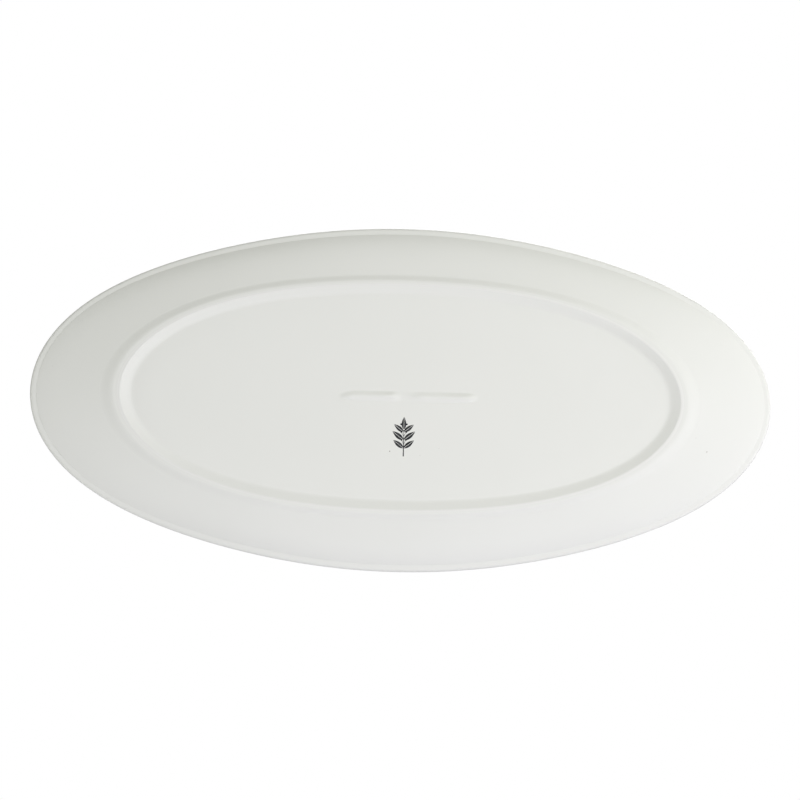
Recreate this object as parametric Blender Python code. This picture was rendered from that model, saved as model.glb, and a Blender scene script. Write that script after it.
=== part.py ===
"""A large oval serving platter in glazed porcelain, standing on its foot ring.

The frame is in metres, with +Z up and +X along the platter. The origin is on the table, under the
middle. The wall, the foot ring and the support rib are lofts through oval stations, and the mark
fired on under the well is a flat outline with a little thickness.
"""

import math

import bmesh
import bpy

MM = 0.001

# Driving dimensions, in millimetres. A pair is a half length along X and a half width along Y.
RIM = (300.7, 139.1)  # the ellipse that the lobes are drawn out from
LOBE = 0.7  # how far the rim swings out in each of its six shallow lobes, and in between them
LIP = (294.9, 133.3)  # where the flange ends and the rolled lip starts, seen from below
RING_OUTER_BASE = (243.2, 100.4)
RING_BEARING_OUTER = (229.2, 93.6)
RING_BEARING_INNER = (225.8, 91.5)
RING_INNER_BASE = (214.6, 81.5)
HEIGHT = 22.0
RING_HEIGHT = 2.8  # from the table up to the underside of the well
FLANGE_START = 3.2  # height of the flange's underside where it leaves the ring
FLANGE_END = 16.0  # and where it meets the lip
WALL_BEND = (236.0, 97.0)  # where the wall's underside starts to rise, over the ring
WALL_BEND_RISE = 0.1
FLANGE_CURL = 0.3  # share of the flange's rise that comes from its curling up towards the lip
END_UNCURL = 0.8  # share of that curl which is lost at the two ends
WELL_WALL = 5.5
RIM_WALL = 4.4
RING_FULLNESS = 0.019  # how much fuller the ring is than an ellipse: more on its sides than its ends
FLANK_SKEW = 1.8  # above 1, a ring's flank is steepest nearer its bearing face than its base
OUTER_FALL = 2.2  # how far the flange's slope, carried on under the outer flank, would drop
GAP = 0.3  # between the wall and what stands under it
FEATHER = 0.3  # thickness left at the thin edges of the ring and the rib

RIB_MIDDLE = (7.3, -0.6)
RIB_HALF_SIZE = (60.4, 5.0)
RIB_HEIGHT = 1.2

MARK_MIDDLE = (3.4, 31.8)
MARK_THICKNESS = 0.2
MARK_STEM_HALF = 0.45
MARK_STEM_FOOT = -16.0
LEAF_PAIRS = ((-9.5, 10.5), (-3.0, 11.5), (3.5, 10.0))  # height on the stem, leaf length
LEAF_RISE = math.radians(38)  # angle of a side leaf above the horizontal
LEAF_FATNESS = 0.17  # half width of a leaf, as a share of its length
TOP_LEAF_FOOT = 5.5
TOP_LEAF_LENGTH = 10.5

STEPS_ROUND = 96
RIB_STEPS_ROUND = 32
LEAF_STEPS = 8

PORCELAIN = (0.83, 0.84, 0.80, 1.0)
MARK_INK = (0.06, 0.065, 0.07, 1.0)


def oval(half, z, fullness=0.0, lobe=0.0, end_rise=0.0, middle=(0.0, 0.0), steps=STEPS_ROUND):
    """One station: an ellipse, made fuller or drawn out into lobes, and raised at its two ends."""
    points = []
    for i in range(steps):
        turn = 2 * math.pi * i / steps
        cosine = math.cos(turn)
        sine = math.sin(turn)
        swell = 1 + fullness * math.sin(2 * turn) ** 2 * (0.7 + 1.1 * sine**2)
        outward = (cosine / half[0], sine / half[1])
        push = -lobe * math.cos(6 * turn) / math.hypot(*outward)
        x = middle[0] + half[0] * swell * cosine + push * outward[0]
        y = middle[1] + half[1] * swell * sine + push * outward[1]
        points.append((x * MM, y * MM, (z + end_rise * cosine**2) * MM))
    return points


def between(first, second, share):
    """The pair of half sizes a share of the way from the first to the second."""
    return tuple(a + (b - a) * share for a, b in zip(first, second))


def inset(half, distance):
    return tuple(value - distance for value in half)


def flange_oval(half, share, wall=0.0):
    """A station of the flange, a share of the way from the ring to the lip and a wall higher.

    It runs from the ring's fuller shape to the rim's lobes, and it curls least at the two ends.
    """
    rise = FLANGE_END - FLANGE_START
    curl = FLANGE_CURL * rise * (share - share**4)
    height = FLANGE_START + rise * share - curl + wall
    return oval(half, height, RING_FULLNESS * (1 - share), LOBE * share, curl * END_UNCURL)


def finish_object(name, mesh_builder, colour, roughness):
    """Makes the object from a bmesh, with its material and smooth shading."""
    bmesh.ops.recalc_face_normals(mesh_builder, faces=mesh_builder.faces)
    mesh = bpy.data.meshes.new(name)
    mesh_builder.to_mesh(mesh)
    mesh_builder.free()
    mesh.shade_smooth()
    mesh.set_sharp_from_angle(angle=math.radians(35))
    material = bpy.data.materials.new(name)
    material.use_nodes = True
    shader = material.node_tree.nodes["Principled BSDF"]
    shader.inputs["Base Color"].default_value = colour
    shader.inputs["Roughness"].default_value = roughness
    shader.inputs["Metallic"].default_value = 0.0
    mesh.materials.append(material)
    piece = bpy.data.objects.new(name, mesh)
    bpy.context.scene.collection.objects.link(piece)
    return piece


def loft(stations, capped):
    """Joins stations with quads. The ends are capped, or the last joins the first again."""
    builder = bmesh.new()
    rings = [[builder.verts.new(point) for point in station] for station in stations]
    steps = len(rings[0])
    pairs = list(zip(rings, rings[1:]))
    if capped:
        builder.faces.new(rings[0])
        builder.faces.new(rings[-1])
    else:
        pairs.append((rings[-1], rings[0]))
    for lower, upper in pairs:
        for i in range(steps):
            j = (i + 1) % steps
            builder.faces.new((lower[i], lower[j], upper[j], upper[i]))
    return builder


def platter_body():
    """The wall, from the middle of the well's floor over the rim to the middle of its underside."""
    floor_height = RING_HEIGHT + WELL_WALL
    stations = [
        oval(inset(RING_INNER_BASE, -1.5), floor_height, RING_FULLNESS),
        oval(inset(RING_BEARING_INNER, -0.5), floor_height + 0.25, RING_FULLNESS),
    ]
    shares = (0.0, 0.25, 0.5, 0.7, 0.85, 1.0)
    for share in shares:
        half = inset(between(RING_OUTER_BASE, LIP, share), 2.5)
        wall = WELL_WALL + (RIM_WALL - WELL_WALL) * share
        stations.append(flange_oval(half, share, wall))
    rolled_edge = (
        (inset(RIM, 4.2), HEIGHT - 0.2),
        (inset(RIM, 2.6), HEIGHT),
        (inset(RIM, 1.0), HEIGHT - 0.5),
        (inset(RIM, 0.2), HEIGHT - 1.4),
        (RIM, HEIGHT - 2.4),
        (inset(RIM, 0.3), HEIGHT - 3.4),
        (inset(RIM, 1.1), HEIGHT - 4.3),
        (inset(RIM, 2.4), HEIGHT - 4.9),
        (inset(RIM, 4.0), HEIGHT - 5.3),
    )
    stations += [oval(half, height, lobe=LOBE) for half, height in rolled_edge]
    for share in reversed(shares):
        stations.append(flange_oval(between(RING_OUTER_BASE, LIP, share), share))
    stations += [
        oval(WALL_BEND, RING_HEIGHT + WALL_BEND_RISE, RING_FULLNESS),
        oval(RING_BEARING_INNER, RING_HEIGHT, RING_FULLNESS),
    ]
    return finish_object("platter_body", loft(stations, capped=True), PORCELAIN, 0.12)


def flank(base, bearing, base_height, fall=0.0):
    """Stations down one flank of the ring, from its base to the edge of its bearing face."""
    stations = []
    for share in (0.0, 0.2, 0.4, 0.55, 0.7, 0.85, 1.0):
        skewed = share**FLANK_SKEW
        height = (base_height - fall * share) * (1 - skewed * skewed * (3 - 2 * skewed))
        stations.append((between(base, bearing, share), height))
    return stations


def foot_ring():
    """The ring under the well: soft flanks down to a narrow flat face that bears on the table."""
    top = RING_HEIGHT - GAP
    outer_top = FLANGE_START - GAP
    section = flank(RING_INNER_BASE, RING_BEARING_INNER, top - FEATHER)
    section += reversed(flank(RING_OUTER_BASE, RING_BEARING_OUTER, outer_top - FEATHER, OUTER_FALL))
    section += [
        (RING_OUTER_BASE, outer_top),
        (WALL_BEND, top + WALL_BEND_RISE),
        (RING_BEARING_INNER, top),
        (RING_INNER_BASE, top),
    ]
    stations = [oval(half, height, RING_FULLNESS) for half, height in section]
    return finish_object("foot_ring", loft(stations, capped=False), PORCELAIN, 0.2)


def support_rib():
    """A low ridge with tapered ends under the middle of the well, clear of the table."""
    top = RING_HEIGHT - GAP
    layers = ((1.0, 0.0), (1.0, FEATHER), (0.92, 0.5), (0.80, 0.75), (0.60, 1.0), (0.30, RIB_HEIGHT))
    stations = []
    for share, drop in layers:
        half = (RIB_HALF_SIZE[0] * share, RIB_HALF_SIZE[1] * share)
        stations.append(oval(half, top - drop, middle=RIB_MIDDLE, steps=RIB_STEPS_ROUND))
    return finish_object("support_rib", loft(stations, capped=True), PORCELAIN, 0.12)


def leaf_edge(foot, length, rise, side):
    """One edge of a pointed leaf, from its foot to its tip; side is 1 above the leaf, -1 below."""
    points = []
    for i in range(1, LEAF_STEPS + 1):
        along = length * i / LEAF_STEPS
        across = side * length * LEAF_FATNESS * math.sin(math.pi * i / LEAF_STEPS)
        x = MARK_STEM_HALF + along * math.cos(rise) - across * math.sin(rise)
        y = foot + along * math.sin(rise) + across * math.cos(rise)
        points.append((x, y))
    return points


def sprig_half():
    """The right half of the sprig's outline, from the stem's foot to the tip of the top leaf."""
    outline = [(MARK_STEM_HALF, MARK_STEM_FOOT)]
    for foot, length in LEAF_PAIRS:
        outline.append((MARK_STEM_HALF, foot - MARK_STEM_HALF))
        outline += leaf_edge(foot, length, LEAF_RISE, -1)
        outline += reversed(leaf_edge(foot, length, LEAF_RISE, 1)[:-1])
        outline.append((MARK_STEM_HALF, foot + MARK_STEM_HALF))
    for i in range(LEAF_STEPS):
        share = i / LEAF_STEPS
        x = MARK_STEM_HALF * (1 - share) + TOP_LEAF_LENGTH * LEAF_FATNESS * math.sin(math.pi * share)
        outline.append((x, TOP_LEAF_FOOT + TOP_LEAF_LENGTH * share))
    return outline


def backstamp():
    """A generic leaf sprig as a thin print. It reads upright from below, with +Y downwards."""
    right = sprig_half()
    tip = [(0.0, TOP_LEAF_FOOT + TOP_LEAF_LENGTH)]
    outline = right + tip + [(-x, y) for x, y in reversed(right)]
    top = (RING_HEIGHT - GAP) * MM
    builder = bmesh.new()
    corners = []
    for x, y in outline:
        place = ((MARK_MIDDLE[0] + x) * MM, (MARK_MIDDLE[1] - y) * MM, top)
        corners.append(builder.verts.new(place))
    face = builder.faces.new(corners)
    swept = bmesh.ops.extrude_face_region(builder, geom=[face])
    lower = [item for item in swept["geom"] if isinstance(item, bmesh.types.BMVert)]
    bmesh.ops.translate(builder, verts=lower, vec=(0.0, 0.0, -MARK_THICKNESS * MM))
    return finish_object("backstamp", builder, MARK_INK, 0.3)


def main():
    for old in list(bpy.data.objects):
        bpy.data.objects.remove(old)
    platter_body()
    foot_ring()
    support_rib()
    backstamp()


main()
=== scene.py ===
"""A large oval serving platter in glazed porcelain, seen from below as it stands on its foot ring.

Lengths are in millimetres until add_loft() turns them into metres, and in metres in the materials,
the floor, the camera and the lights. A pair is a half length along X and a half width along Y. The
sizes of whole pieces come from the frame, and the rest are offsets from those.
"""

import math

import bmesh
import bpy
from mathutils import Matrix, Vector


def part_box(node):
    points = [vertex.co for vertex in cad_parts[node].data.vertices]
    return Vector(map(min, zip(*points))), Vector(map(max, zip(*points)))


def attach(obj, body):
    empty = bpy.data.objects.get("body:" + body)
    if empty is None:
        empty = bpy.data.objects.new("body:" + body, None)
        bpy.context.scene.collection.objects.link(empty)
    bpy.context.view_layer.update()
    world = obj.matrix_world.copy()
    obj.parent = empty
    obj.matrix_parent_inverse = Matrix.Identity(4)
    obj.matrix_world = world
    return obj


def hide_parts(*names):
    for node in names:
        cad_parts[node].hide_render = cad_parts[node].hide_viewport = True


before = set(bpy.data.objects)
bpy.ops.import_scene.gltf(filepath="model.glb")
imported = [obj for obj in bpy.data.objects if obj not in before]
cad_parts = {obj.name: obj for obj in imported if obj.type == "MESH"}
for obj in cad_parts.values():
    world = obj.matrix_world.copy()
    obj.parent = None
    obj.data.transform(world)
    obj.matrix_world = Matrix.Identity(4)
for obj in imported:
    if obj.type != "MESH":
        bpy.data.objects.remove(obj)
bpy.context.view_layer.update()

MM = 0.001

# ---------------------------------------------------------------------------------------------
# Sizes


def node_box(node):
    """The node's lowest and highest corner, in millimetres."""
    low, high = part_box(node)
    return low / MM, high / MM


BODY_LOW, BODY_HIGH = node_box("platter_body")
RING_HIGH = node_box("foot_ring")[1]
RIB_LOW, RIB_HIGH = node_box("support_rib")
MARK_LOW, MARK_HIGH = node_box("backstamp")

LOBE = 0.7  # how far the rim swings out in each of its six shallow lobes, and in between them
LOBES = 6
RIM = (BODY_HIGH.x + LOBE, BODY_HIGH.y - LOBE)  # the ellipse that the lobes are drawn out from
RIM_TOP = BODY_HIGH.z
WELL_UNDER = BODY_LOW.z
RING_OUTER_BASE = (RING_HIGH.x, RING_HIGH.y)


def inset(half, along, across=None):
    """The pair of half sizes that lies this far inside another."""
    return (half[0] - along, half[1] - (along if across is None else across))


def between(first, second, share):
    """The pair of half sizes a share of the way from the first to the second."""
    return tuple(a + (b - a) * share for a, b in zip(first, second))


OUTER_FLANK = (14.0, 6.8)  # width of the ring's outer flank, at the ends and on the sides
BEARING_OUTER = inset(RING_OUTER_BASE, *OUTER_FLANK)
BEARING_INNER = inset(RING_OUTER_BASE, 17.4, 8.9)
RING_INNER_BASE = inset(RING_OUTER_BASE, 28.6, 18.9)
LIP = inset(RIM, 5.8)  # where the flange ends and the rolled lip starts, seen from below

RING_FULLNESS = 0.019  # how much fuller the ring is than an ellipse
END_FULLNESS = 0.7  # weight of that towards the two ends
SIDE_FULLNESS = 1.1  # and how much more it weighs towards the sides
INNER_HOLLOW = 0.45  # share of the inner flank, from the wall, over which it steepens
OUTER_HOLLOW = 0.85  # the same of the outer flank
INNER_ROUND = 0.1  # share of the inner flank, at the crest, over which it levels out again
OUTER_ROUND = 0.14  # the same of the outer flank
OUTER_LAST_SLOPE = 0.25  # slope left at the outer flank's crest, as a share of its steepest
FLANGE_START = WELL_UNDER + 0.4
FLANGE_END = RIM_TOP - 6.0
FLANGE_CURL = 0.3  # share of the flange's rise that comes from its curling up towards the lip
END_UNCURL = 0.8  # share of that curl which is lost at the two ends
LIP_EASE = 0.3  # how much shallower the crease between flange and lip is at the two ends
FLANGE_RISE = FLANGE_END - FLANGE_START
END_LIFT = 0.6  # how much higher the flange starts at the two ends than on the sides
GUTTER = 0.5  # how far the well's underside rises next to the ring at the two ends
GUTTER_WIDTH = 17.0  # how far that rise reaches in from the ring's inner base
CREST_TILT = 0.3  # how far the ring's crest rises from its inner to its outer edge
WELL_WALL = 5.5
RIM_WALL = 4.4
WALL_LEAN = 2.5  # how far the flange's top side lies inside its underside
FLOOR_EDGE_RISE = 0.25  # how far the well's floor has risen where it meets the flange
# How far the flange's slope, carried on across the ring's outer flank, drops on the sides and ends.
SIDE_SLOPE = FLANGE_RISE * (1 - FLANGE_CURL) / (LIP[1] - RING_OUTER_BASE[1])
END_SLOPE = FLANGE_RISE * (1 - FLANGE_CURL * (1 - END_UNCURL)) - END_LIFT
END_SLOPE /= LIP[0] - RING_OUTER_BASE[0]
SIDE_FALL = SIDE_SLOPE * OUTER_FLANK[1]
END_FALL = END_SLOPE * OUTER_FLANK[0]

SUNK = 0.03  # how far inside the wall the thin edges end, so that no seam shows
BURIED = 1.5  # how far the ring and the rib reach into the wall they stand on
RING_TAPER = 0.5  # how much narrower the ring is there, on each side

AROUND = 384  # steps round every oval
FLANK_STEPS = 24
WALL_STEPS = 4  # from each station of the wall to the next

# ---------------------------------------------------------------------------------------------
# Meshes


def smooth(share):
    """An S curve from 0 to 1, level at both ends."""
    share = min(max(share, 0.0), 1.0)
    return share * share * (3 - 2 * share)


def level(half, height, fullness=RING_FULLNESS, lobe=0.0, end_rise=0.0):
    """A station: its half sizes and height, its fullness, its lobes, and its rise at the two ends."""
    return (half[0], half[1], height, fullness, lobe, end_rise)


def oval(station):
    """The points of a station: an ellipse, made a little fuller or drawn out into six lobes."""
    half_length, half_width, height, fullness, lobe, end_rise = station
    points = []
    for i in range(AROUND):
        turn = 2 * math.pi * i / AROUND
        cosine, sine = math.cos(turn), math.sin(turn)
        weight = END_FULLNESS + SIDE_FULLNESS * sine**2
        swell = 1 + fullness * math.sin(2 * turn) ** 2 * weight
        outward = (cosine / half_length, sine / half_width)
        push = -lobe * math.cos(LOBES * turn) / math.hypot(*outward)
        x = half_length * swell * cosine + push * outward[0]
        y = half_width * swell * sine + push * outward[1]
        points.append((x, y, height + end_rise * cosine**2))
    return points


def curved(stations, steps):
    """A smooth run through the stations, with this many steps from each to the next."""
    run = []
    last = len(stations) - 1
    for i in range(last):
        before, start = stations[max(i - 1, 0)], stations[i]
        end, after = stations[i + 1], stations[min(i + 2, last)]
        for k in range(steps):
            t = k / steps
            weights = (
                -0.5 * t + t**2 - 0.5 * t**3,
                1 - 2.5 * t**2 + 1.5 * t**3,
                0.5 * t + 2 * t**2 - 1.5 * t**3,
                -0.5 * t**2 + 0.5 * t**3,
            )
            rows = zip(before, start, end, after)
            run.append(tuple(sum(w * v for w, v in zip(weights, row)) for row in rows))
    run.append(stations[-1])
    return run


def add_loft(builder, rings, capped):
    """Joins rings of points with quads. The ends are capped, or the last joins the first again."""
    rows = [[builder.verts.new(Vector(p) * MM) for p in ring] for ring in rings]
    steps = len(rows[0])
    pairs = list(zip(rows, rows[1:]))
    if capped:
        builder.faces.new(rows[0])
        builder.faces.new(rows[-1])
    else:
        pairs.append((rows[-1], rows[0]))
    for lower, upper in pairs:
        for i in range(steps):
            j = (i + 1) % steps
            builder.faces.new((lower[i], lower[j], upper[j], upper[i]))


def mesh_object(name, builder, node, material):
    """Makes the piece that stands for a CAD node."""
    bmesh.ops.recalc_face_normals(builder, faces=builder.faces)
    mesh = bpy.data.meshes.new(name)
    builder.to_mesh(mesh)
    builder.free()
    mesh.shade_smooth()
    mesh.materials.append(material)
    piece = bpy.data.objects.new(name, mesh)
    bpy.context.scene.collection.objects.link(piece)
    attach(piece, "root")
    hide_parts(node)
    return piece


# ---------------------------------------------------------------------------------------------
# Wall

WELL_SHARES = (0.98, 0.8, 0.5, 0.3, 0.16, 0.08, 0.03, 0.0)  # of the way in from the well's edge
ROLLED_EDGE = (  # inset from the rim, drop below its top, and rise at the two ends
    (5.6, 0.8, 0.0),
    (4.2, 0.2, 0.0),
    (2.6, 0.0, 0.0),
    (1.0, 0.5, 0.0),
    (0.2, 1.4, 0.0),
    (0.0, 2.4, 0.0),
    (0.3, 3.4, -0.1),
    (1.1, 4.3, -0.2),
    (2.4, 4.9, -0.1),
    (4.0, 5.3, 0.05),
    (5.4, 5.7, 0.2),
)
KEPT_SLOPE = 0.1  # share of the outer flank under which the wall keeps the flange's slope
UNDER_OUTER_FLANK = (  # share of the way in, drop below the flange's start, and rise at the two ends
    (KEPT_SLOPE, SIDE_FALL * KEPT_SLOPE, END_LIFT + (SIDE_FALL - END_FALL) * KEPT_SLOPE),
    (0.2, 0.38, END_LIFT),
    (0.5, 0.4, END_LIFT),
)
HIDDEN_GUTTER = 4.0  # how far the gutter's full rise carries on under the ring's inner flank


def flange_level(half, share, wall=0.0):
    """A station of the flange, a share of the way from the ring to the lip and a wall higher."""
    curl = FLANGE_CURL * FLANGE_RISE * (share - share**4)
    height = FLANGE_START + FLANGE_RISE * share - curl + wall
    end_rise = curl * END_UNCURL + END_LIFT * (1 - share) + LIP_EASE * share**8
    return level(half, height, RING_FULLNESS * (1 - share), LOBE * share, end_rise)


def top_stations():
    """The side that food is served on, from the middle of the well's floor to the rim."""
    floor = WELL_UNDER + WELL_WALL
    stations = [level(between(RING_INNER_BASE, (0, 0), share), floor) for share in WELL_SHARES]
    stations.append(level(BEARING_INNER, floor + FLOOR_EDGE_RISE))
    for share in (0.0, 0.2, 0.4, 0.6, 0.8, 0.93):
        wall = WELL_WALL + (RIM_WALL - WELL_WALL) * share
        half = inset(between(RING_OUTER_BASE, LIP, share), WALL_LEAN)
        stations.append(flange_level(half, share, wall))
    return stations


def edge_stations():
    """The rolled edge, over the rim and back to the crease under the lip."""
    stations = []
    for gap, drop, end_rise in ROLLED_EDGE:
        stations.append(level(inset(RIM, gap), RIM_TOP - drop, 0.0, LOBE, end_rise))
    return stations


def under_stations():
    """The underside, from the lip over the ring to the middle of the well."""
    stations = []
    for share in (1.0, 0.99, 0.96, 0.9, 0.8, 0.65, 0.45, 0.25, 0.12, 0.05, 0.0):
        stations.append(flange_level(between(RING_OUTER_BASE, LIP, share), share))
    for share, drop, end_rise in UNDER_OUTER_FLANK:
        half = between(RING_OUTER_BASE, BEARING_OUTER, share)
        stations.append(level(half, FLANGE_START - drop, end_rise=end_rise))
    for half in (BEARING_OUTER, BEARING_INNER, inset(RING_INNER_BASE, -HIDDEN_GUTTER)):
        stations.append(level(half, WELL_UNDER, end_rise=GUTTER))
    for share in (0.0, 0.2, 0.4, 0.6, 0.8, 1.0):
        half = inset(RING_INNER_BASE, GUTTER_WIDTH * share)
        stations.append(level(half, WELL_UNDER, end_rise=GUTTER * (1 - share) ** 2))
    flat = inset(RING_INNER_BASE, GUTTER_WIDTH)
    for share in reversed(WELL_SHARES[:-1]):
        stations.append(level(between(flat, (0, 0), share), WELL_UNDER))
    return stations


def make_wall(material):
    """From the middle of the well's floor over the rim to the middle of its underside."""
    stations = top_stations() + edge_stations() + under_stations()
    builder = bmesh.new()
    add_loft(builder, [oval(station) for station in curved(stations, WALL_STEPS)], capped=True)
    return mesh_object("platter_porcelain", builder, "platter_body", material)


# ---------------------------------------------------------------------------------------------
# Foot ring


def flank(base, bearing, shape, lift, crest=0.0, side_fall=0.0, end_fall=0.0):
    """Stations down one flank: a long hollow from the wall, then a tight round at the crest.

    The shape is the height of its base, how much of it is hollow and how much is rounded, and the
    slope that is left at the crest as a share of the steepest. The lift is how much higher its base
    is at the two ends. The falls are how far the wall's slope, carried on across the flank, drops.
    """
    base_height, hollow, rounded, last_slope = shape
    slopes = []
    for i in range(FLANK_STEPS):
        share = (i + 0.5) / FLANK_STEPS
        level_out = last_slope + (1 - last_slope) * smooth((1 - share) / rounded)
        slopes.append(smooth(share / hollow) * level_out)
    stations = []
    for i in range(FLANK_STEPS + 1):
        share = i / FLANK_STEPS
        left = sum(slopes[i:]) / sum(slopes)
        height = crest + (base_height - side_fall * share - crest) * left
        end_rise = (lift + (side_fall - end_fall) * share) * left
        stations.append(level(between(base, bearing, share), height, end_rise=end_rise))
    return stations


def make_ring(material):
    """Soft flanks that run into the wall, and a narrow face to stand on."""
    inner_shape = (WELL_UNDER + SUNK, INNER_HOLLOW, INNER_ROUND, 0.0)
    outer_shape = (FLANGE_START + SUNK, OUTER_HOLLOW, OUTER_ROUND, OUTER_LAST_SLOPE)
    inner = flank(RING_INNER_BASE, BEARING_INNER, inner_shape, GUTTER)
    outer = flank(
        RING_OUTER_BASE, BEARING_OUTER, outer_shape, END_LIFT, CREST_TILT, SIDE_FALL, END_FALL
    )
    stations = inner + outer[::-1]
    stations.append(level(inset(RING_OUTER_BASE, RING_TAPER), FLANGE_START + BURIED))
    stations.append(level(inset(RING_INNER_BASE, -RING_TAPER), WELL_UNDER + BURIED))
    builder = bmesh.new()
    add_loft(builder, [oval(station) for station in stations], capped=False)
    return mesh_object("foot_ring_porcelain", builder, "foot_ring", material)


# ---------------------------------------------------------------------------------------------
# Support rib: two long humps on one low ridge, with the left end drawn down a little

RIB_MIDDLE = (RIB_LOW + RIB_HIGH) / 2
RIB_SPREAD = 0.2  # how much wider each side is than the CAD rib's, because its edges fade out
RIB_HALF = ((RIB_HIGH.x - RIB_LOW.x) / 2, (RIB_HIGH.y - RIB_LOW.y) / 2 + RIB_SPREAD)
RIB_DROP = WELL_UNDER - RIB_LOW.z
RIB_BEND = 2.6  # how far the left end is drawn down
BEND_START = -0.7  # where that starts along the rib, which runs from -1 to 1
BEND_LENGTH = 0.3
CREST_OFFSET = 0.04  # how far the crest lies off the middle, as a share of the half width
RIB_RINGS = 28
RIB_FADE = 0.2  # share of the half sizes over which the rib fades in from its edge
RIB_BLUNTNESS = 0.6  # 1 gives an ellipse
FAR_SIDE = 0.9  # share of the half width that the rib's far side takes up, at -Y
NEAR_SIDE = 0.98  # and its near side
# The left hump, the right hump and the saddle between them. Each has its rises, as a share of the
# whole height, a start along the rib and a length, and then its fall's end and length.
RIB_HUMPS = (
    (((0.8, -0.99, 0.16), (0.2, -0.6, 0.3)), (-0.1, 0.16)),
    (((0.7, -0.05, 0.26), (0.3, 0.35, 0.35)), (0.94, 0.17)),
    (((0.16, -0.5, 0.3),), (0.4, 0.3)),
)


def blunt(value):
    """Turns a cosine or a sine into a step round an oval with blunter ends than an ellipse has."""
    return math.copysign(abs(value) ** RIB_BLUNTNESS, value)


def rib_crest(along):
    """Height along the crest, as a share of the whole: along is -1 at the left end, 1 at the right."""
    height = 0.0
    for rises, (fall_end, fall_length) in RIB_HUMPS:
        hump = sum(share * smooth((along - start) / length) for share, start, length in rises)
        height += hump * smooth((fall_end - along) / fall_length)
    return height


def rib_drop(along, across):
    """How far the rib stands off the wall, where both run from -1 to 1 over its outline."""
    bend = RIB_BEND / RIB_HALF[1] * smooth((BEND_START - along) / BEND_LENGTH)
    offset = across - bend - CREST_OFFSET
    side = FAR_SIDE if offset < 0 else NEAR_SIDE
    return RIB_DROP * rib_crest(along) * smooth(1 - abs(offset) / side)


def make_rib(material):
    rings = []
    for k in range(RIB_RINGS, 0, -1):
        share = k / RIB_RINGS
        ring = []
        for i in range(AROUND):
            turn = 2 * math.pi * i / AROUND
            along, across = share * blunt(math.cos(turn)), share * blunt(math.sin(turn))
            z = WELL_UNDER + SUNK - smooth((1 - share) / RIB_FADE) * rib_drop(along, across)
            ring.append((RIB_MIDDLE.x + RIB_HALF[0] * along, RIB_MIDDLE.y + RIB_HALF[1] * across, z))
        rings.append(ring)
    top = [(x, y, WELL_UNDER + BURIED) for x, y, z in rings[0]]
    builder = bmesh.new()
    add_loft(builder, [top] + rings, capped=True)
    return mesh_object("support_rib_porcelain", builder, "support_rib", material)


# ---------------------------------------------------------------------------------------------
# Print under the well: a leaf sprig, upright from below, where +Y points down

MARK_MIDDLE = (MARK_LOW + MARK_HIGH) / 2
MARK_HALF_HEIGHT = (MARK_HIGH.y - MARK_LOW.y) / 2
PRINT_PROUD = 0.02  # thickness of the print below the wall's glaze
PRINT_BURIED = 0.15  # and how far it reaches into the wall
STEM_FOOT_HALF = 0.455
STEM_TIP_HALF = 0.175
STEM_TIP_SHARE = 0.34  # height of the stem's tip, as a share of the sprig's half height
TOP_LEAF_SHARE = 0.64  # length of the leaf on that tip, as a share of the same
MIDRIB_HALF = 0.14
MIDRIB_START = 0.05  # where the bare midrib starts and ends, as shares of a leaf's length
MIDRIB_END = 0.9
LEAF_PAIRS = ((-9.5, 10.5), (-3.0, 11.5), (3.5, 10.0))  # height on the stem, leaf length
LEAF_RISE = math.radians(38)
LEAF_FATNESS = 0.17  # half width of a leaf, as a share of its length
LEAF_WAIST = 0.85  # below 1, a leaf is widest nearer its foot than its tip
LEAF_TIP_HALF = 0.05
LEAF_STEPS = 18
BERRIES = ((-6.6, 66), (-0.1, 62), (6.2, 58))  # height on the stem, angle of the stalk in degrees
STALK_START = 0.6
STALK_LENGTH = 3.4
STALK_HALF = 0.16
BERRY_RADIUS = 0.75
BERRY_REACH = 1.1  # distance from the stalk's end to the berry's middle, in berry radiuses
BERRY_STEPS = 20


def add_print(builder, outline):
    """A flat plate under the well. The outline is in millimetres about the sprig's middle."""
    rows = []
    for z in (WELL_UNDER + PRINT_BURIED, WELL_UNDER - PRINT_PROUD):
        rows.append([(MARK_MIDDLE.x + x, MARK_MIDDLE.y - y, z) for x, y in outline])
    add_loft(builder, rows, capped=True)


def placed(points, foot, rise, side):
    """Turns points, given along and across a leaf or stalk, to where it leaves the stem."""
    turned = []
    for along, across in points:
        x = along * math.cos(rise) - across * math.sin(rise)
        y = along * math.sin(rise) + across * math.cos(rise)
        turned.append((side * x, foot + y))
    return turned


def half_leaf(length, half):
    """One blade of a leaf, on one side of its midrib: half is 1 above the midrib, -1 below."""
    midrib = [(length * share, half * MIDRIB_HALF) for share in (MIDRIB_START, MIDRIB_END)]
    edge = []
    for i in range(1, LEAF_STEPS):
        share = i / LEAF_STEPS
        bulge = math.sin(math.pi * share**LEAF_WAIST)
        edge.append((length * share, half * (MIDRIB_HALF + length * LEAF_FATNESS * bulge)))
    return midrib[:1] + edge + [(length, half * LEAF_TIP_HALF)] + midrib[1:]


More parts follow.
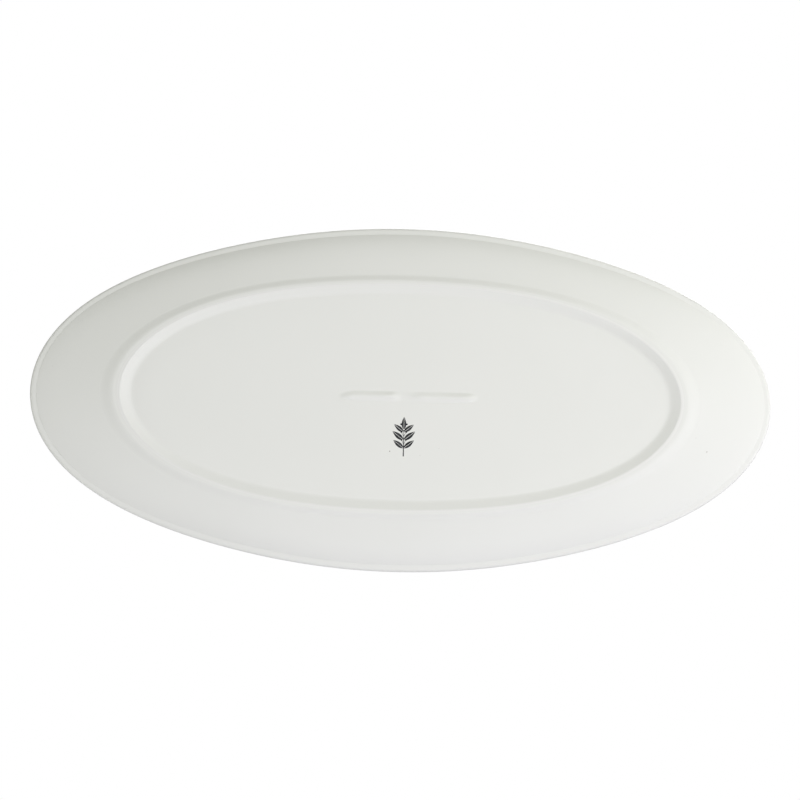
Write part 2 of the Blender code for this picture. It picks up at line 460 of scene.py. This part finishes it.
def make_print(material):
    """A stem with pairs of leaves and berries, and one more leaf on its tip."""
    builder = bmesh.new()
    low, high = -MARK_HALF_HEIGHT, MARK_HALF_HEIGHT * STEM_TIP_SHARE
    stem_right = [(STEM_FOOT_HALF, low), (STEM_TIP_HALF, high)]
    stem_left = [(-STEM_TIP_HALF, high), (-STEM_FOOT_HALF, low)]
    add_print(builder, stem_right + stem_left)
    for foot, length in LEAF_PAIRS:
        for side in (1, -1):
            for half in (1, -1):
                add_print(builder, placed(half_leaf(length, half), foot, LEAF_RISE, side))
    top_leaf = MARK_HALF_HEIGHT * TOP_LEAF_SHARE
    for half in (1, -1):
        add_print(builder, placed(half_leaf(top_leaf, half), high, math.radians(90), 1))
    near, far = STALK_START, STALK_LENGTH
    stalk = [(near, -STALK_HALF), (far, -STALK_HALF), (far, STALK_HALF), (near, STALK_HALF)]
    berry = []
    for i in range(BERRY_STEPS):
        turn = 2 * math.pi * i / BERRY_STEPS
        reach = STALK_LENGTH + BERRY_RADIUS * (BERRY_REACH + math.cos(turn))
        berry.append((reach, BERRY_RADIUS * math.sin(turn)))
    for foot, rise in BERRIES:
        for side in (1, -1):
            add_print(builder, placed(stalk, foot, math.radians(rise), side))
            add_print(builder, placed(berry, foot, math.radians(rise), side))
    return mesh_object("leaf_sprig_print", builder, "backstamp", material)


# ---------------------------------------------------------------------------------------------
# Materials

GLAZE_COLOUR = (0.83, 0.837, 0.797, 1)
GLAZE_SHADE = (0.822, 0.83, 0.789, 1)
GLAZE_ROUGHNESS = (0.07, 0.12)
PINHOLE_COLOUR = (0.42, 0.40, 0.36, 1)
BARE_COLOUR = (0.815, 0.818, 0.785, 1)
BARE_HEIGHTS = (0.00025, 0.00005)  # where the foot starts to be bare, and where all of it is
BARE_ROUGHNESS = 0.4  # how much rougher it is there
RIPPLE_STRENGTH = 0.12
RIPPLE_DEPTH = 0.0002
INK_COLOUR = (0.022, 0.024, 0.027, 1)
INK_SHADE = (0.06, 0.063, 0.068, 1)
INK_ROUGHNESS = 0.14

# Noises, as a scale in cycles a metre and a detail, and the part of their range that is used.
CLOUD_NOISE, CLOUD_RANGE = (14, 3), (0.35, 0.65)
PINHOLE_NOISE, PINHOLE_RANGE = (330, 0), (0.93, 0.945)
GLOSS_NOISE, GLOSS_RANGE = (30, 4), (0.3, 0.7)
INK_NOISE, INK_RANGE = (700, 3), (0.4, 0.7)
RIPPLE_NOISE = (55, 2)


def new_material(name):
    material = bpy.data.materials.new(name)
    material.use_nodes = True
    return material, material.node_tree.nodes, material.node_tree.links


def noise(nodes, links, scale, detail):
    """Noise in object space."""
    place = nodes.new("ShaderNodeTexCoord")
    texture = nodes.new("ShaderNodeTexNoise")
    texture.inputs["Scale"].default_value = scale
    texture.inputs["Detail"].default_value = detail
    links.new(place.outputs["Object"], texture.inputs["Vector"])
    return texture.outputs["Fac"]


def spread(nodes, links, source, low, high, to_low=0.0, to_high=1.0):
    """Maps low..high to another range, clamped."""
    node = nodes.new("ShaderNodeMapRange")
    for name, value in (("From Min", low), ("From Max", high), ("To Min", to_low), ("To Max", to_high)):
        node.inputs[name].default_value = value
    links.new(source, node.inputs["Value"])
    return node.outputs["Result"]


def mixed(nodes, links, factor, first, second):
    """A colour between two, each of them a colour or a socket."""
    node = nodes.new("ShaderNodeMix")
    node.data_type = "RGBA"
    links.new(factor, node.inputs["Factor"])
    for socket, value in ((node.inputs[6], first), (node.inputs[7], second)):
        if isinstance(value, tuple):
            socket.default_value = value
        else:
            links.new(value, socket)
    return node.outputs[2]


def make_glaze(name, bare_foot=False):
    """Clear gloss glaze over white porcelain, with faint clouding, waviness and stray pinholes."""
    material, nodes, links = new_material(name)
    shader = nodes["Principled BSDF"]
    clouds = spread(nodes, links, noise(nodes, links, *CLOUD_NOISE), *CLOUD_RANGE)
    colour = mixed(nodes, links, clouds, GLAZE_COLOUR, GLAZE_SHADE)
    pinholes = spread(nodes, links, noise(nodes, links, *PINHOLE_NOISE), *PINHOLE_RANGE)
    colour = mixed(nodes, links, pinholes, colour, PINHOLE_COLOUR)
    gloss = noise(nodes, links, *GLOSS_NOISE)
    gloss = spread(nodes, links, gloss, *GLOSS_RANGE, *GLAZE_ROUGHNESS)
    if bare_foot:
        place = nodes.new("ShaderNodeTexCoord")
        axes = nodes.new("ShaderNodeSeparateXYZ")
        links.new(place.outputs["Object"], axes.inputs[0])
        bare = spread(nodes, links, axes.outputs["Z"], *BARE_HEIGHTS)
        colour = mixed(nodes, links, bare, colour, BARE_COLOUR)
        rough = nodes.new("ShaderNodeMath")
        rough.operation = "MULTIPLY_ADD"
        links.new(bare, rough.inputs[0])
        rough.inputs[1].default_value = BARE_ROUGHNESS
        links.new(gloss, rough.inputs[2])
        gloss = rough.outputs[0]
    links.new(colour, shader.inputs["Base Color"])
    links.new(gloss, shader.inputs["Roughness"])
    ripple = nodes.new("ShaderNodeBump")
    ripple.inputs["Strength"].default_value = RIPPLE_STRENGTH
    ripple.inputs["Distance"].default_value = RIPPLE_DEPTH
    links.new(noise(nodes, links, *RIPPLE_NOISE), ripple.inputs["Height"])
    links.new(ripple.outputs["Normal"], shader.inputs["Normal"])
    return material


def make_ink():
    """Dark grey print under the glaze, a little uneven."""
    material, nodes, links = new_material("fired_print_ink")
    shader = nodes["Principled BSDF"]
    patches = spread(nodes, links, noise(nodes, links, *INK_NOISE), *INK_RANGE)
    links.new(mixed(nodes, links, patches, INK_COLOUR, INK_SHADE), shader.inputs["Base Color"])
    shader.inputs["Roughness"].default_value = INK_ROUGHNESS
    return material


# ---------------------------------------------------------------------------------------------
# Camera, floor and lights

VIEW_TILT = math.radians(6.2)
VIEW_ROLL = math.radians(1.335)
VIEW_DISTANCE = 1.98
VIEW_TARGET = Vector((-0.00025, 0.00065, RIM_TOP * MM - 0.0025))
LENS = 110.0
SENSOR_WIDTH = 36.0

FLOOR_REACH = 6.0
FLOOR_DROP = 0.0002  # how far the floor lies below the bearing face, so that they don't coincide
FLOOR_GREY = (0.6, 0.6, 0.6, 1)
FLOOR_ROUGHNESS = 0.9
FLOOR_GLOW = 0.26


def make_camera():
    """Looks up at the underside from below, tilted a little, with +X to the right."""
    data = bpy.data.cameras.new("camera")
    data.lens = LENS
    data.sensor_width = SENSOR_WIDTH
    camera = bpy.data.objects.new("camera", data)
    bpy.context.scene.collection.objects.link(camera)
    back = Vector((0, math.sin(VIEW_TILT), -math.cos(VIEW_TILT)))
    right = Vector((1, 0, 0))
    up = back.cross(right)
    rolled_right = right * math.cos(VIEW_ROLL) + up * math.sin(VIEW_ROLL)
    rolled_up = back.cross(rolled_right)
    turn = Matrix((rolled_right, rolled_up, back)).transposed()
    camera.matrix_world = Matrix.Translation(VIEW_TARGET + back * VIEW_DISTANCE) @ turn.to_4x4()
    bpy.context.scene.camera = camera


def make_floor():
    """A pale floor that is seen from above only, and lets the camera look up through it."""
    far = FLOOR_REACH
    corners = [(-far, -far, 0), (far, -far, 0), (far, far, 0), (-far, far, 0)]
    mesh = bpy.data.meshes.new("floor")
    mesh.from_pydata(corners, [], [(0, 1, 2, 3)])
    floor = bpy.data.objects.new("floor", mesh)
    bpy.context.scene.collection.objects.link(floor)
    floor.location.z = -FLOOR_DROP
    floor.visible_diffuse = False
    floor.visible_glossy = False
    floor.visible_transmission = False
    floor.visible_shadow = False
    material, nodes, links = new_material("floor_paper")
    paper = nodes["Principled BSDF"]
    paper.inputs["Base Color"].default_value = FLOOR_GREY
    paper.inputs["Roughness"].default_value = FLOOR_ROUGHNESS
    paper.inputs["Emission Color"].default_value = (1, 1, 1, 1)
    paper.inputs["Emission Strength"].default_value = FLOOR_GLOW
    clear = nodes.new("ShaderNodeBsdfTransparent")
    side = nodes.new("ShaderNodeNewGeometry")
    choose = nodes.new("ShaderNodeMixShader")
    links.new(side.outputs["Backfacing"], choose.inputs[0])
    links.new(paper.outputs[0], choose.inputs[1])
    links.new(clear.outputs[0], choose.inputs[2])
    links.new(choose.outputs[0], nodes["Material Output"].inputs["Surface"])
    mesh.materials.append(material)


# Name, place, size, power in watts and colour of each light. All of them aim at the platter. Those
# below it light the porcelain without showing as bright squares in the glaze.
LIGHTS = (
    ("front", (0.0, 0.0, -1.9), 1.2, 9.0, (0.99, 1.0, 0.927)),
    ("right", (1.8, 0.0, -0.5), 1.0, 9.75, (0.942, 0.931, 1.0)),
    ("left", (-1.8, 0.0, -0.5), 1.0, 3.6, (0.963, 1.0, 0.83)),
    ("far_right", (1.27, -1.27, -0.5), 1.0, 5.38, (0.978, 1.0, 0.928)),
    ("near_right", (0.99, 0.99, -1.2), 1.0, 6.67, (0.909, 0.888, 1.0)),
    ("near", (0.0, 1.4, -1.2), 1.0, 8.85, (0.912, 0.893, 1.0)),
    ("key", (0.74, -0.43, -0.5), 0.5, 1.14, (1.0, 0.992, 0.883)),
    ("overhead", (0.4, -0.6, 1.8), 1.6, 30.0, (1.0, 1.0, 1.0)),
    ("high_left", (-1.6, 1.6, 1.1), 0.55, 1.6, (1.0, 1.0, 1.0)),
)
WORLD_COLOUR = (0.989, 0.987, 1.0)
WORLD_STRENGTH = 0.301


def make_lights():
    for name, place, size, power, colour in LIGHTS:
        data = bpy.data.lights.new(name, "AREA")
        data.size = size
        data.energy = power
        data.color = colour
        light = bpy.data.objects.new(name, data)
        bpy.context.scene.collection.objects.link(light)
        light.location = place
        light.rotation_mode = "QUATERNION"
        light.rotation_quaternion = (-Vector(place)).to_track_quat("-Z", "Y")
        light.visible_camera = False
        light.visible_glossy = place[2] > 0


def make_world():
    """White behind the object, and an even soft light all round it."""
    world = bpy.data.worlds.new("studio")
    world.use_nodes = True
    nodes, links = world.node_tree.nodes, world.node_tree.links
    soft = nodes["Background"]
    soft.inputs["Color"].default_value = (*WORLD_COLOUR, 1)
    soft.inputs["Strength"].default_value = WORLD_STRENGTH
    white = nodes.new("ShaderNodeBackground")
    white.inputs["Color"].default_value = (1, 1, 1, 1)
    white.inputs["Strength"].default_value = 1.0
    path = nodes.new("ShaderNodeLightPath")
    choose = nodes.new("ShaderNodeMixShader")
    links.new(path.outputs["Is Camera Ray"], choose.inputs[0])
    links.new(soft.outputs[0], choose.inputs[1])
    links.new(white.outputs[0], choose.inputs[2])
    links.new(choose.outputs[0], nodes["World Output"].inputs["Surface"])
    bpy.context.scene.world = world


make_camera()
make_world()
make_floor()
make_lights()
bpy.context.scene.view_settings.view_transform = "Standard"

glaze = make_glaze("porcelain_glaze")
make_wall(glaze)
make_rib(glaze)
make_ring(make_glaze("foot_ring_glaze", bare_foot=True))
make_print(make_ink())
